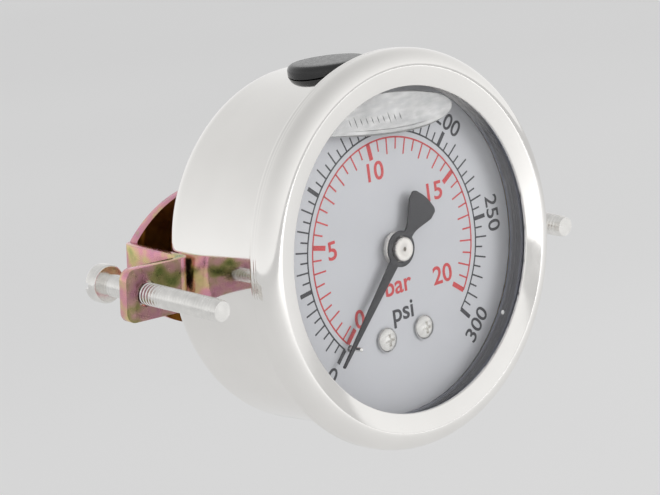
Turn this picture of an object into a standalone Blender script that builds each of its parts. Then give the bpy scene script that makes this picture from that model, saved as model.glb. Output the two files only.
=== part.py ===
"""Liquid-filled 63 mm pressure gauge with a centre-back connection and a panel clamp.

Frame: metres, +Z up. The dial faces -Y and its zero-to-full arc is symmetric about +Z.
The origin is on the gauge's axis, in the plane of the panel seat (the bezel's rear face).
"""
import math

import bmesh
import bpy
from mathutils import Matrix, Vector

MM = 0.001

# ---- driving dimensions, millimetres -------------------------------------------------
BEZEL_R = 34.0            # outer radius of the crimped bezel
BEZEL_FRONT = -4.8        # foremost ring of the bezel
SHOULDER_R = 3.0          # rounding between the bezel's side band and its front
LIP_R = 27.6              # clear opening in the bezel
LIP_Y = -4.05             # front of the lip round the opening
CASE_R = 30.8             # outer radius of the case cup
CASE_BACK = 25.5          # outer face of the case's back
CASE_CORNER = 4.0         # rounding between the case's side and its back
SHEET = 0.7               # wall of the drawn case
GAP = 0.3                 # clearance between pieces that rest on each other

DIAL_R = 28.5
DIAL_Y = 0.93             # printed face of the dial
DIAL_T = 0.5
DIAL_SCREW = (4.5, -14.9) # half spacing and height of the two dial screws

POINTER_Y = -1.0          # front face of the pointer's blade
POINTER_T = 0.4
POINTER_ANGLE = 225.2     # direction of the resting pointer, degrees from +X
POINTER_TIP = 23.4
POINTER_TAIL = 10.3
HUB_R = 3.1
ARBOR_R = 0.8

PINION_TEETH = 12
SECTOR_TEETH = 72         # teeth on the sector's full pitch circle
PINION_PITCH_R = 2.2
MESH_ANGLE = 78.8         # direction from the sector's pivot to the pinion
TAIL_R = 4.2              # sector pivot to tail pin
TAIL_ANGLE = -90.4        # half the sector's sweep before square to the link
TAIL_PIN_R = 0.5
TAIL_HOLE_R = 0.9         # the link's hole is wider: the pin swings past the link's own arc
GEAR_Y = (8.3, 9.1)
LINK_Y = (7.2, 8.0)
HAIRSPRING_Y = (6.4, 6.9)
FRONT_PLATE_Y = (5.0, 6.0)
BACK_PLATE_Y = (10.5, 11.5)

TUBE_R = 22.5             # mean radius of the Bourdon tube
TUBE_Y = (12.6, 19.6)
TUBE_T = 2.2
TUBE_START = 244.0        # at the socket's foot, degrees from +X
TUBE_END = -20.0          # free end
TIP_BLOCK = (20.4, -9.6)  # centre of the block on the tube's free end

STEM_R = 6.58             # G 1/4 thread, major radius
STEM_END = 53.0
PORT_R = 2.5
HEX_AF = 17.0
HEX_Y = (25.8, 31.0)
SOCKET_SCREW_R = 12.4     # radius of the ring of screws in the case's back

PLUG_Y = 11.3             # fill plug on top of the case
PLUG_R = 7.0
PLUG_TOP = 32.2

BRACKET_Y = 32.94         # middle of the bracket's sheet, on the stem
BRACKET_ROCK = 5.19       # degrees that the slack bracket droops at the front
BRACKET_SWIVEL = 3.48     # degrees that it is turned on the stem
BRACKET_T = 1.8
BRACKET_MID_H = 12.3      # half height of its middle
BRACKET_BOW_R = 22.0      # arc from the middle down to the arms
BRACKET_BOW_X = 13.8
ARM_X = 31.9              # middle of an arm's sheet
ARM_H = 4.5               # half height of arms and ears
EAR_Y = -14.8             # middle of the ears' sheet, from the bracket's own middle
EAR_X = 45.5
BEND_R = 1.7
SCREW_X = 41.05           # clamp screws, from the bracket's own middle
SCREW_TIP = -34.05
SCREW_HEAD = -5.95
SCREW_R = 1.9
SCREW_HEAD_R = 3.3
SCREW_HEAD_T = 2.6

NUT_Y = (36.6, 41.6)
WASHER_Y = (35.2, 36.3)

ROUND = 48                # facets on the large turned pieces
SMALL = 16                # facets on the small ones
CUTTER_PHASE = 0.37       # turns a cutter's facets away from its target's


# ---- helpers ---------------------------------------------------------------------------
def clear_scene():
    for obj in list(bpy.data.objects):
        bpy.data.objects.remove(obj, do_unlink=True)


def material(name, colour, roughness, metallic, alpha=1.0):
    mat = bpy.data.materials.new(name)
    mat.use_nodes = True
    shader = mat.node_tree.nodes["Principled BSDF"]
    shader.inputs["Base Color"].default_value = (*colour, 1.0)
    shader.inputs["Roughness"].default_value = roughness
    shader.inputs["Metallic"].default_value = metallic
    shader.inputs["Alpha"].default_value = alpha
    return mat


def finish_object(name, bm, mat, parent=None, smooth=True):
    """Turn a bmesh in millimetres into a named object with its faces pointing out."""
    bmesh.ops.remove_doubles(bm, verts=bm.verts, dist=1e-5)
    bmesh.ops.recalc_face_normals(bm, faces=bm.faces)
    bmesh.ops.scale(bm, vec=(MM, MM, MM), verts=bm.verts)
    mesh = bpy.data.meshes.new(name)
    bm.to_mesh(mesh)
    bm.free()
    if smooth:
        mesh.shade_smooth()
        mesh.set_sharp_from_angle(angle=math.radians(35))
    obj = bpy.data.objects.new(name, mesh)
    bpy.context.scene.collection.objects.link(obj)
    if mat:
        mesh.materials.append(mat)
    obj.parent = parent
    return obj


def empty(name, place=(0, 0, 0), rotation=(0, 0, 0), parent=None):
    obj = bpy.data.objects.new(name, None)
    bpy.context.scene.collection.objects.link(obj)
    obj.location = [MM * v for v in place]
    obj.rotation_euler = [math.radians(a) for a in rotation]
    obj.parent = parent
    return obj


def hang(axis, *pieces):
    """Parent pieces to the empty on their joint's axis, leaving them where they are."""
    for piece in pieces:
        piece.parent = axis
        piece.matrix_parent_inverse = Matrix.Translation(axis.location).inverted()


def arc(centre, radius, start, end, steps):
    """Points of an arc, angles in degrees."""
    points = []
    for i in range(steps + 1):
        a = math.radians(start + (end - start) * i / steps)
        points.append((centre[0] + radius * math.cos(a), centre[1] + radius * math.sin(a)))
    return points


def circle(centre, radius, steps):
    return arc(centre, radius, 0, 360, steps)[:-1]


def turned_mesh(profile, steps, axis="Y", centre=(0, 0, 0), phase=0.0):
    """Revolve a closed (radius, height) outline about an axis through centre.

    phase turns the facets, so that a cutter's corners don't fall on its target's edges.
    """
    bm = bmesh.new()
    rings = []
    for radius, height in profile:
        if radius < 1e-6:
            rings.append([bm.verts.new(place(0, 0, height, axis, centre))])
            continue
        ring = []
        for i in range(steps):
            a = 2 * math.pi * (i + phase) / steps
            ring.append(bm.verts.new(place(radius * math.cos(a), radius * math.sin(a), height, axis, centre)))
        rings.append(ring)
    for low, high in zip(rings, rings[1:] + rings[:1]):
        for i in range(steps):
            j = (i + 1) % steps
            corners = [low[i % len(low)], low[j % len(low)], high[j % len(high)], high[i % len(high)]]
            corners = list(dict.fromkeys(corners))
            if len(corners) > 2:
                bm.faces.new(corners)
    return bm


def place(u, v, height, axis, centre):
    """A point at (u, v) across an axis and at a height along it."""
    if axis == "Y":
        return Vector((centre[0] + u, centre[1] + height, centre[2] + v))
    return Vector((centre[0] + u, centre[1] + v, centre[2] + height))


def turned(name, profile, mat, steps=SMALL, axis="Y", centre=(0, 0, 0), parent=None, phase=0.0):
    return finish_object(name, turned_mesh(profile, steps, axis, centre, phase), mat, parent)


def prism_mesh(outline, low, high, axis="Y"):
    """Extrude a closed outline, drawn as (x, z) for axis Y or (x, y) for axis Z."""
    bm = bmesh.new()
    ends = []
    for height in (low, high):
        ends.append([bm.verts.new(place(u, v, height, axis, (0, 0, 0))) for u, v in outline])
    count = len(outline)
    for i in range(count):
        j = (i + 1) % count
        bm.faces.new((ends[0][i], ends[0][j], ends[1][j], ends[1][i]))
    bm.faces.new(ends[0])
    bm.faces.new(ends[1])
    return bm


def prism(name, outline, low, high, mat, axis="Y", parent=None):
    return finish_object(name, prism_mesh(outline, low, high, axis), mat, parent, smooth=False)


def rod_profile(radius, low, high, chamfer=0.0):
    if chamfer <= 0:
        return [(0, low), (radius, low), (radius, high), (0, high)]
    return [(0, low), (radius - chamfer, low), (radius, low + chamfer),
            (radius, high - chamfer), (radius - chamfer, high), (0, high)]


def rounded_box(x0, x1, z0, z1, radius, steps=4):
    corners = [((x1 - radius, z1 - radius), 0), ((x0 + radius, z1 - radius), 90),
               ((x0 + radius, z0 + radius), 180), ((x1 - radius, z0 + radius), 270)]
    points = []
    for centre, start in corners:
        points += arc(centre, radius, start, start + 90, steps)
    return points


def boolean(obj, cutter, operation="DIFFERENCE"):
    """Join or cut with a helper solid that isn't a piece of its own."""
    cutter.hide_render = True
    cutter.hide_viewport = False
    cutter.display_type = "WIRE"
    mod = obj.modifiers.new(operation.lower(), "BOOLEAN")
    mod.operation = operation
    mod.solver = "EXACT"
    mod.object = cutter


def cut_hole(obj, x, z, radius, low, high, steps=SMALL, parent=None):
    profile = rod_profile(radius, low, high)
    cutter = turned(f"cutter_{obj.name}_{len(obj.modifiers)}", profile, None, steps,
                    centre=(x, 0, z), parent=parent, phase=CUTTER_PHASE)
    boolean(obj, cutter)


# ---- case and window -------------------------------------------------------------------
def make_case(mat):
    inner = CASE_R - SHEET
    back_in = CASE_BACK - SHEET
    corner_in = CASE_CORNER - SHEET
    profile = [(inner, -1.35), (32.9, -1.35), (32.9, -0.8), (CASE_R, -0.8)]
    profile += arc((CASE_R - CASE_CORNER, CASE_BACK - CASE_CORNER), CASE_CORNER, 0, 90, 4)
    profile += [(8.3, CASE_BACK), (8.3, back_in)]
    profile += arc((inner - corner_in, back_in - corner_in), corner_in, 90, 0, 4)
    case = turned("case_shell", profile, mat, ROUND)
    hole = turned("cutter_case_fill", rod_profile(4.6, 25.0, 35.0), None, SMALL, "Z", (0, PLUG_Y, 0))
    boolean(case, hole)
    for x, z in socket_screw_places():
        cut_hole(case, x, z, 1.5, CASE_BACK - 2, CASE_BACK + 2)
    return case


def make_bezel(mat):
    front_r = BEZEL_R - SHOULDER_R
    profile = [(BEZEL_R, 0.0)]
    profile += arc((front_r, BEZEL_FRONT + SHOULDER_R), SHOULDER_R, 0, -90, 5)
    profile += [(front_r - 0.7, BEZEL_FRONT + 0.05), (LIP_R, LIP_Y), (LIP_R, LIP_Y + 0.45),
                (29.6, LIP_Y + 0.45), (31.0, BEZEL_FRONT + 0.75), (32.4, BEZEL_FRONT + 1.4),
                (33.3, BEZEL_FRONT + 2.9), (33.3, -0.5), (31.1, -0.5), (31.1, 0.0)]
    return turned("bezel_ring", profile, mat, ROUND)


def make_window(mat):
    return turned("window", rod_profile(29.2, -3.3, -2.4, 0.15), mat, ROUND)


def make_window_gasket(mat):
    profile = [(28.8, -2.1), (32.6, -2.1), (32.6, -1.65), (29.7, -1.65), (29.7, 0.6), (28.8, 0.6)]
    return turned("window_gasket", profile, mat, ROUND)


def make_fill_plug(mat):
    """A rubber mushroom plug, its head saddled to the case, its stem in the case's hole."""
    head = [(0, 27.0), (PLUG_R, 27.0), (PLUG_R, PLUG_TOP - 0.55), (PLUG_R - 0.18, PLUG_TOP - 0.2),
            (PLUG_R - 0.6, PLUG_TOP), (0, PLUG_TOP + 0.05)]
    plug = turned("fill_plug", head, mat, 32, "Z", (0, PLUG_Y, 0))
    saddle = turned("cutter_plug_saddle", rod_profile(CASE_R + 0.2, -5, 30), None, 96)
    boolean(plug, saddle)
    stem_profile = [(0, 26.6), (3.4, 26.6), (4.2, 28.0), (4.2, 31.6), (0, 31.6)]
    stem = turned("cutter_plug_stem", stem_profile, None, SMALL, "Z", (0, PLUG_Y, 0))
    boolean(plug, stem, "UNION")
    return plug


# ---- dial and pointer ------------------------------------------------------------------
def make_dial(mat):
    profile = [(1.4, DIAL_Y), (DIAL_R, DIAL_Y), (DIAL_R, DIAL_Y + DIAL_T), (1.4, DIAL_Y + DIAL_T)]
    dial = turned("dial_plate", profile, mat, ROUND)
    for side in (-1, 1):
        cut_hole(dial, side * DIAL_SCREW[0], DIAL_SCREW[1], 1.2, DIAL_Y - 1, DIAL_Y + 2)
    pin_x, pin_z = stop_pin_place()
    cut_hole(dial, pin_x, pin_z, 0.6, DIAL_Y - 1, DIAL_Y + 2, 12)
    return dial


def make_dial_screw(name, x, mat):
    low = DIAL_Y - 1.05
    profile = [(0, low), (1.1, low + 0.05), (1.8, low + 0.3), (2.15, low + 0.75), (0.9, low + 0.75),
               (0.9, DIAL_Y + 2.6), (0, DIAL_Y + 2.6)]
    return turned(name, profile, mat, SMALL, centre=(x, 0, DIAL_SCREW[1]))


def make_dial_post(name, x, mat):
    low = DIAL_Y + DIAL_T + GAP
    profile = [(1.2, low), (2.0, low), (2.0, 4.7), (1.2, 4.7)]
    return turned(name, profile, mat, SMALL, centre=(x, 0, DIAL_SCREW[1]))


def stop_pin_place():
    """The pin stands just behind the resting pointer, on the side away from the scale."""
    a = math.radians(POINTER_ANGLE + 2.5)
    return 19.2 * math.cos(a), 19.2 * math.sin(a)


def make_stop_pin(mat):
    x, z = stop_pin_place()
    profile = rod_profile(0.38, -1.9, DIAL_Y + DIAL_T + 0.9, 0.1)
    return turned("stop_pin", profile, mat, 12, centre=(x, 0, z))


def pointer_outline():
    """Blade, ring and paddle tail, drawn along +X and then turned to the resting angle."""
    tip_half = 0.28
    ring_half = 1.0
    neck_half = 0.9
    tail_half = 3.4
    join = math.sqrt(HUB_R ** 2 - ring_half ** 2)
    neck = math.sqrt(HUB_R ** 2 - neck_half ** 2)
    join_angle = math.degrees(math.atan2(ring_half, join))
    neck_angle = 180 - math.degrees(math.atan2(neck_half, neck))
    top = [(POINTER_TIP, tip_half * 0.6), (POINTER_TIP - 0.3, tip_half)]
    top += arc((0, 0), HUB_R, join_angle, neck_angle, 6)
    corner = 1.3
    top += [(-5.4, 1.75), (-8.3, tail_half - 0.35)]
    top += arc((-POINTER_TAIL + corner + 0.25, tail_half - corner), corner, 95, 165, 4)
    bottom = [(x, -z) for x, z in reversed(top)]
    turn = Matrix.Rotation(math.radians(POINTER_ANGLE), 2)
    return [tuple(turn @ Vector(point)) for point in top + bottom]


def make_pointer(mat, parent):
    pointer = prism("pointer", pointer_outline(), POINTER_Y, POINTER_Y + POINTER_T, mat, parent=parent)
    cut_hole(pointer, 0, 0, 2.25, POINTER_Y - 1, POINTER_Y + 1, parent=parent)
    return pointer


def make_pointer_hub(mat, parent):
    """The bushing that the blade is riveted to, with a blind hole for the arbor's end."""
    front = POINTER_Y - 0.8
    rear = DIAL_Y - 0.3
    profile = [(0, front + 0.45), (0.3, front + 0.35), (0.4, front), (1.9, front), (2.1, front + 0.2),
               (2.1, POINTER_Y + POINTER_T + 0.2), (1.85, POINTER_Y + POINTER_T + 0.3), (1.85, rear),
               (ARBOR_R + 0.1, rear), (ARBOR_R + 0.1, front + 0.9), (0, front + 0.9)]
    return turned("pointer_hub", profile, mat, 24, parent=parent)


# ---- movement --------------------------------------------------------------------------
def sector_pivot():
    distance = PINION_PITCH_R * (1 + SECTOR_TEETH / PINION_TEETH)
    a = math.radians(MESH_ANGLE + 180)
    return distance * math.cos(a), distance * math.sin(a)


def tail_pin():
    px, pz = sector_pivot()
    a = math.radians(TAIL_ANGLE)
    return px + TAIL_R * math.cos(a), pz + TAIL_R * math.sin(a)


def tooth(centre, pitch_r, angle, step):
    """The outline of one trapezoid tooth and half the gap on each side of it."""
    module = 2 * PINION_PITCH_R / PINION_TEETH
    foot = pitch_r - 1.15 * module
    tip = pitch_r + 0.85 * module
    points = []
    flank = [(foot, 0.36), (pitch_r, 0.22), (tip, 0.08)]
    for radius, offset in [(r, -share) for r, share in flank] + flank[::-1]:
        a = math.radians(angle + offset * step)
        points.append((centre[0] + radius * math.cos(a), centre[1] + radius * math.sin(a)))
    return points


def pinion_outline():
    step = 360 / PINION_TEETH
    points = []
    for i in range(PINION_TEETH):
        points += tooth((0, 0), PINION_PITCH_R, MESH_ANGLE + 180 + i * step, step)
    return points


def sector_outline():
    """Teeth over the arc that the pinion rolls on, webs down to the hub, and the tail."""
    centre = sector_pivot()
    step = 360 / SECTOR_TEETH
    pitch_r = PINION_PITCH_R * SECTOR_TEETH / PINION_TEETH
    points = []
    for i in range(-11, 2):
        points += tooth(centre, pitch_r, MESH_ANGLE + (i + 0.5) * step, step)
    high = MESH_ANGLE + 2 * step
    low = MESH_ANGLE - 11 * step
    points += [(centre[0] + (pitch_r - 2.6) * math.cos(math.radians(high)),
                centre[1] + (pitch_r - 2.6) * math.sin(math.radians(high)))]
    points += arc(centre, 2.0, high + 30, 230, 6)
    points += arc(tail_pin(), 1.1, 190, 350, 6)
    points += arc(centre, 2.0, 310, 360 + low - 30, 4)
    points += [(centre[0] + (pitch_r - 2.6) * math.cos(math.radians(low)),
                centre[1] + (pitch_r - 2.6) * math.sin(math.radians(low)))]
    return points


def make_pinion_arbor(mat, parent):
    """Steel arbor from the pointer hub to the back plate, with its pinion and spring collet."""
    profile = [(0, -0.7), (ARBOR_R, -0.7), (ARBOR_R, 6.35), (1.15, 6.35), (1.15, 6.95), (ARBOR_R, 6.95),
               (ARBOR_R, 11.8), (0, 11.8)]
    arbor = turned("pinion_arbor", profile, mat, 16, parent=parent)
    pinion = prism("cutter_pinion", pinion_outline(), 7.9, 9.5, None, parent=parent)
    boolean(arbor, pinion, "UNION")
    return arbor


def make_sector_gear(mat):
    """Sector plate with the pin that stands out of its tail."""
    low, high = GEAR_Y
    gear = prism("sector_gear", sector_outline(), low, high, mat)
    px, pz = sector_pivot()
    cut_hole(gear, px, pz, 1.05, low - 1, high + 1)
    tx, tz = tail_pin()
    pin_profile = rod_profile(TAIL_PIN_R, LINK_Y[0] - GAP, (low + high) / 2)
    boolean(gear, turned("cutter_tail_pin", pin_profile, None, 12, centre=(tx, 0, tz)), "UNION")
    return gear


def make_sector_arbor(mat):
    px, pz = sector_pivot()
    profile = [(0, 4.8), (0.75, 4.8), (0.75, 6.4), (1.6, 6.4), (1.6, 8.0), (0.9, 8.0), (0.9, 9.4),
               (0.75, 9.4), (0.75, 11.7), (0, 11.7)]
    return turned("sector_arbor", profile, mat, 16, centre=(px, 0, pz))


def link_outline():
    """A flat link with round ends, from the tail pin to the tube's tip."""
    start = Vector(tail_pin())
    end = Vector(TIP_BLOCK)
    heading = math.degrees(math.atan2(end.y - start.y, end.x - start.x))
    return arc(start, 1.6, heading + 90, heading + 270, 8) + arc(end, 1.4, heading - 90, heading + 90, 8)


def make_link(mat):
    low, high = LINK_Y
    link = prism("link", link_outline(), low, high, mat)
    for (x, z), radius in ((tail_pin(), TAIL_HOLE_R), (TIP_BLOCK, 0.75)):
        cut_hole(link, x, z, radius, low - 1, high + 1)
    return link


def make_tip_block(mat):
    """The block on the tube's free end, with the pin that carries the link."""
    x, z = TIP_BLOCK
    low = GEAR_Y[1] - 0.1
    outline = rounded_box(x - 2.3, x + 2.3, z - 2.0, z + 1.1, 0.6, 2)
    block = prism("tip_block", outline, low, TUBE_Y[1], mat)
    pin_profile = rod_profile(0.6, LINK_Y[0] - 0.6, low + 0.5)
    boolean(block, turned("cutter_tip_pin", pin_profile, None, 12, centre=(x, 0, z)), "UNION")
    return block


def tube_centroid():
    """Centroid of the tube's arc: as the tube uncurls, its free end turns about it."""
    half = math.radians(TUBE_START - TUBE_END) / 2
    middle = math.radians(TUBE_START + TUBE_END) / 2
    reach = TUBE_R * math.sin(half) / half
    return reach * math.cos(middle), reach * math.sin(middle)


def make_bourdon_tube(mat):
    """The flattened C-shaped tube, swept from the socket's foot to its free end."""
    half_y = (TUBE_Y[1] - TUBE_Y[0]) / 2
    mid_y = sum(TUBE_Y) / 2
    around = 8
    steps = 28
    bm = bmesh.new()
    rings = []
    for i in range(steps + 1):
        a = math.radians(TUBE_START + (TUBE_END - TUBE_START) * i / steps)
        ring = []
        for k in range(around):
            b = 2 * math.pi * k / around
            radius = TUBE_R + TUBE_T / 2 * math.cos(b)
            height = mid_y + half_y * math.copysign(abs(math.sin(b)) ** 0.6, math.sin(b))
            ring.append(bm.verts.new((radius * math.cos(a), height, radius * math.sin(a))))
        rings.append(ring)
    for low, high in zip(rings, rings[1:]):
        for k in range(around):
            j = (k + 1) % around
            bm.faces.new((low[k], low[j], high[j], high[k]))
    bm.faces.new(rings[0])
    bm.faces.new(rings[-1])
    return finish_object("bourdon_tube", bm, mat)


def make_hairspring(mat):
    """A flat spiral between the arbor's collet and the stud."""
    turns = 3.0
    start_r, end_r = 1.6, 5.0
    steps = 45
    low, high = HAIRSPRING_Y
    bm = bmesh.new()
    rings = []
    for i in range(steps + 1):
        share = i / steps
        a = 2 * math.pi * turns * share
        ring = []
        for shift, height in ((-0.09, low), (0.09, low), (0.09, high), (-0.09, high)):
            radius = start_r + (end_r - start_r) * share + shift
            ring.append(bm.verts.new((radius * math.cos(a), height, radius * math.sin(a))))
        rings.append(ring)
    for low, high in zip(rings, rings[1:]):
        for k in range(4):
            j = (k + 1) % 4
            bm.faces.new((low[k], low[j], high[j], high[k]))
    bm.faces.new(rings[0])
    bm.faces.new(rings[-1])
    return finish_object("hairspring", bm, mat)


def pillar_places():
    return [(10.5, -1.0), (-11.5, -1.0), (-10.5, -19.5)]


def make_plate(name, heights, mat, holes):
    low, high = heights
    plate = prism(name, rounded_box(-14, 13, -22.5, 3.5, 3.0), low, high, mat)
    for x, z, radius in holes:
        cut_hole(plate, x, z, radius, low - 1, high + 1, 16)
    return plate


def make_movement(brass, steel):
    px, pz = sector_pivot()
    pivots = [(0, 0, 1.0), (px, pz, 0.95)]
    screws = [(x, z, 0.9) for x, z in movement_screw_places()]
    make_plate("movement_front_plate", FRONT_PLATE_Y, brass, pivots)
    make_plate("movement_back_plate", BACK_PLATE_Y, brass, pivots + screws)
    pillar = rod_profile(1.4, FRONT_PLATE_Y[1] + GAP, BACK_PLATE_Y[0] - GAP, 0.2)
    for i, (x, z) in enumerate(pillar_places(), 1):
        turned(f"pillar_{i}", pillar, brass, 16, centre=(x, 0, z))
    stud = rod_profile(0.5, FRONT_PLATE_Y[1] + GAP, 7.3)
    turned("hairspring_stud", stud, brass, 12, centre=(5.8, 0, 0))
    for i, (x, z) in enumerate(movement_screw_places(), 1):
        profile = [(0, 9.4), (1.5, 9.4), (1.5, 10.3), (0.7, 10.3), (0.7, 14.5), (0, 14.5)]
        turned(f"movement_screw_{i}", profile, steel, 16, centre=(x, 0, z))


def movement_screw_places():
    return [(5.5, -19.0), (-6.5, -19.8)]


# ---- socket ----------------------------------------------------------------------------
def socket_screw_places():
    return [(SOCKET_SCREW_R * math.cos(math.radians(a)), SOCKET_SCREW_R * math.sin(math.radians(a)))
            for a in (90, 210, 330)]


def make_socket(mat):
    """One brass forging: threaded stem, wrench hexagon, case flange and the tube's foot."""
    profile = [(PORT_R, STEM_END), (STEM_R - 0.9, STEM_END), (STEM_R, STEM_END - 1.0),
               (STEM_R, HEX_Y[1] + 0.6), (STEM_R - 0.7, HEX_Y[1] + 0.4), (STEM_R - 0.7, 28.0),
               (8.0, 28.0), (8.0, 23.7), (15.0, 23.7),
               (15.0, 21.2), (0, 21.2), (0, 29.0), (PORT_R, 30.5)]
    socket = turned("socket", profile, mat, 32)
    radius = HEX_AF / 2 / math.cos(math.radians(30))
    hexagon = prism("cutter_socket_hex", circle((0, 0), radius, 6), HEX_Y[0], HEX_Y[1], None)
    boolean(socket, hexagon, "UNION")
    foot = prism("cutter_socket_foot", rounded_box(-9, 9, -21.5, -7, 1.0, 2), 11.9, 22.4, None)
    boolean(socket, foot, "UNION")
    bore = turned("cutter_socket_bore", rod_profile(PORT_R, 29.5, STEM_END + 2), None, SMALL)
    boolean(socket, bore)
    for x, z in socket_screw_places():
        cut_hole(socket, x, z, 1.4, 20.0, 25.0, 16)
    for x, z in movement_screw_places():
        cut_hole(socket, x, z, 1.0, 10.0, 15.2, 16)
    return socket


def make_socket_seal(mat):
    profile = [(8.6, 23.95), (14.8, 23.95), (14.8, 24.55), (8.6, 24.55)]
    seal = turned("socket_seal", profile, mat, 32)
    for x, z in socket_screw_places():
        cut_hole(seal, x, z, 1.5, 22, 26, 16)
    return seal


def make_socket_screw(name, x, z, mat):
    head = CASE_BACK + 0.25
    profile = [(0, 21.6), (1.1, 21.6), (1.1, head), (2.3, head), (2.3, head + 0.9), (1.6, head + 1.4),
               (0, head + 1.5)]
    return turned(name, profile, mat, 16, centre=(x, 0, z))


def make_restrictor(mat):
    """The throttle screw in the pressure port: a short plug with a fine hole through it."""
    profile = [(0.4, 45.0), (PORT_R - 0.2, 45.0), (PORT_R - 0.2, 48.0), (0.4, 48.0)]
    return turned("restrictor", profile, mat, 16)


# ---- panel clamp -----------------------------------------------------------------------
def bent_strip(points, radius, thickness, steps=5):
    """The edge view of a bent sheet: a path with filleted corners, given a thickness."""
    sides = {1: [], -1: []}
    half = thickness / 2
    for i, point in enumerate(points):
        here = Vector(point)
        ahead = (Vector(points[min(i + 1, len(points) - 1)]) - here)
        behind = (here - Vector(points[max(i - 1, 0)]))
        out_dir = (ahead if ahead.length else behind).normalized()
        in_dir = (behind if behind.length else ahead).normalized()
        turn = in_dir.x * out_dir.y - in_dir.y * out_dir.x
        left_in = Vector((-in_dir.y, in_dir.x))
        left_out = Vector((-out_dir.y, out_dir.x))
        if abs(turn) < 1e-6:
            for side in sides:
                sides[side].append(here + side * half * left_in)
            continue
        bend = 1 if turn > 0 else -1
        centre = here + bend * radius * (left_in + left_out)
        for k in range(steps + 1):
            blend = left_in.lerp(left_out, k / steps).normalized()
            for side in sides:
                sides[side].append(centre - bend * (radius - side * bend * half) * blend)
    return [tuple(p) for p in sides[1] + sides[-1][::-1]]


def bracket_outline():
    """The front view of the bracket: a bowed middle, and straight arms with round ears."""
    top = BRACKET_MID_H
    centre_z = top - BRACKET_BOW_R
    reach = math.degrees(math.acos((ARM_H - centre_z) / BRACKET_BOW_R))
    right = arc((BRACKET_BOW_X, centre_z), BRACKET_BOW_R, 90, 90 - reach, 8)
    corner = 2.4
    upper = right + arc((EAR_X - corner, ARM_H - corner), corner, 90, 0, 5)
    half = upper + [(x, -z) for x, z in reversed(upper)]
    return half + [(-x, -z) for x, z in half]


def make_bracket(mat, parent):
    path = [(-EAR_X - 1, EAR_Y), (-ARM_X, EAR_Y), (-ARM_X, 0), (ARM_X, 0), (ARM_X, EAR_Y), (EAR_X + 1, EAR_Y)]
    strip = bent_strip(path, BEND_R, BRACKET_T)
    bracket = prism("clamp_bracket", strip, -BRACKET_MID_H - 2, BRACKET_MID_H + 2, mat, "Z", parent)
    outline = prism("cutter_bracket_outline", bracket_outline(), -20, 5, None, parent=parent)
    boolean(bracket, outline, "INTERSECT")
    cut_hole(bracket, 0, 0, 7.6, -5, 5, 32, parent)
    for side in (-1, 1):
        cut_hole(bracket, side * SCREW_X, 0, 2.15, -20, -10, SMALL, parent)
    return bracket


def make_clamp_screw(name, mat, parent):
    head = SCREW_HEAD
    profile = [(0, SCREW_TIP), (SCREW_R - 0.45, SCREW_TIP), (SCREW_R, SCREW_TIP + 0.45), (SCREW_R, head),
               (SCREW_HEAD_R - 0.2, head), (SCREW_HEAD_R, head + 0.3),
               (SCREW_HEAD_R, head + SCREW_HEAD_T - 0.6), (SCREW_HEAD_R - 0.5, head + SCREW_HEAD_T),
               (0, head + SCREW_HEAD_T)]
    screw = turned(name, profile, mat, SMALL, parent=parent)
    slot = prism(f"cutter_{name}_slot", rounded_box(-4.5, 4.5, -0.5, 0.5, 0.05, 1),
                 head + SCREW_HEAD_T - 1.1, head + SCREW_HEAD_T + 1, None, parent=parent)
    boolean(screw, slot)
    return screw


def make_clamp_washer(mat, parent):
    profile = [(7.0, WASHER_Y[0]), (11.5, WASHER_Y[0]), (11.5, WASHER_Y[1]), (7.0, WASHER_Y[1])]
    return turned("clamp_washer", profile, mat, 32, parent=parent)


def make_clamp_nut(mat, parent):
    radius = 19.0 / 2 / math.cos(math.radians(30))
    nut = prism("clamp_nut", circle((0, 0), radius, 6), NUT_Y[0], NUT_Y[1], mat, parent=parent)
    cut_hole(nut, 0, 0, STEM_R + 0.12, NUT_Y[0] - 1, NUT_Y[1] + 1, 32, parent)
    return nut


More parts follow.
